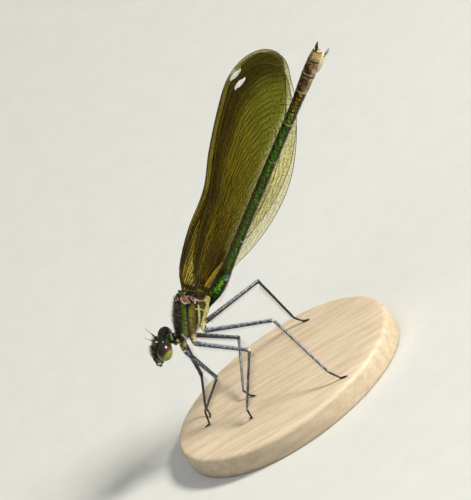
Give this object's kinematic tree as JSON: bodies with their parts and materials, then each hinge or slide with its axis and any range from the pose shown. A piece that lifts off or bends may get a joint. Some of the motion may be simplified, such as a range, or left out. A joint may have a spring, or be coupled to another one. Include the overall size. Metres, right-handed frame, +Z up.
{
  "type": "damselfly model",
  "caption": "Life-size still model of a female demoiselle damselfly, wings closed over a raised abdomen, standing on a small oval base.",
  "frame": {"origin": "Under the middle of the whole model's box, on the underside of the base.", "axes": "+Z up, the insect's head towards -X, its left side towards -Y."},
  "size_m": [0.0446, 0.026, 0.041],
  "materials": {
    "head": "dark green-bronze, glossy, pale spots",
    "thorax": "metallic green and gold with black seams and yellow rear edge",
    "abdomen": "metallic emerald green, pale rings",
    "tail": "bronze and pale brown",
    "eye": "glossy, red-brown above and lime green below",
    "leg": "blue-grey to black, satin",
    "coxa": "cream, satin",
    "wing": "olive-gold tinted clear membrane with dark veins and white wing spots",
    "base": "pale fine-grained wood, satin"
  },
  "bodies": {
    "root": {"abdomen_s1": "abdomen", "abdomen_s10": "tail", "abdomen_s2": "abdomen", "abdomen_s3": "abdomen", "abdomen_s4": "abdomen", "abdomen_s5": "abdomen", "abdomen_s6": "abdomen", "abdomen_s7": "abdomen", "abdomen_s8": "tail", "abdomen_s9": "tail", "antenna_left": "leg", "antenna_right": "leg", "cercus_left": "tail", "cercus_right": "tail", "eye_left": "eye", "eye_right": "eye", "forewing_left": "wing", "forewing_right": "wing", "front_left_coxa": "coxa", "front_left_femur": "leg", "front_left_tarsus": "leg", "front_left_tibia": "leg", "front_right_coxa": "coxa", "front_right_femur": "leg", "front_right_tarsus": "leg", "front_right_tibia": "leg", "head": "head", "hind_left_coxa": "coxa", "hind_left_femur": "leg", "hind_left_tarsus": "leg", "hind_left_tibia": "leg", "hind_right_coxa": "coxa", "hind_right_femur": "leg", "hind_right_tarsus": "leg", "hind_right_tibia": "leg", "hindwing_left": "wing", "hindwing_right": "wing", "labium": "head", "labrum": "head", "middle_left_coxa": "coxa", "middle_left_femur": "leg", "middle_left_tarsus": "leg", "middle_left_tibia": "leg", "middle_right_coxa": "coxa", "middle_right_femur": "leg", "middle_right_tarsus": "leg", "middle_right_tibia": "leg", "ovipositor": "tail", "prothorax": "head", "stand_base": "base", "thorax": "thorax"}
  },
  "joints": []
}
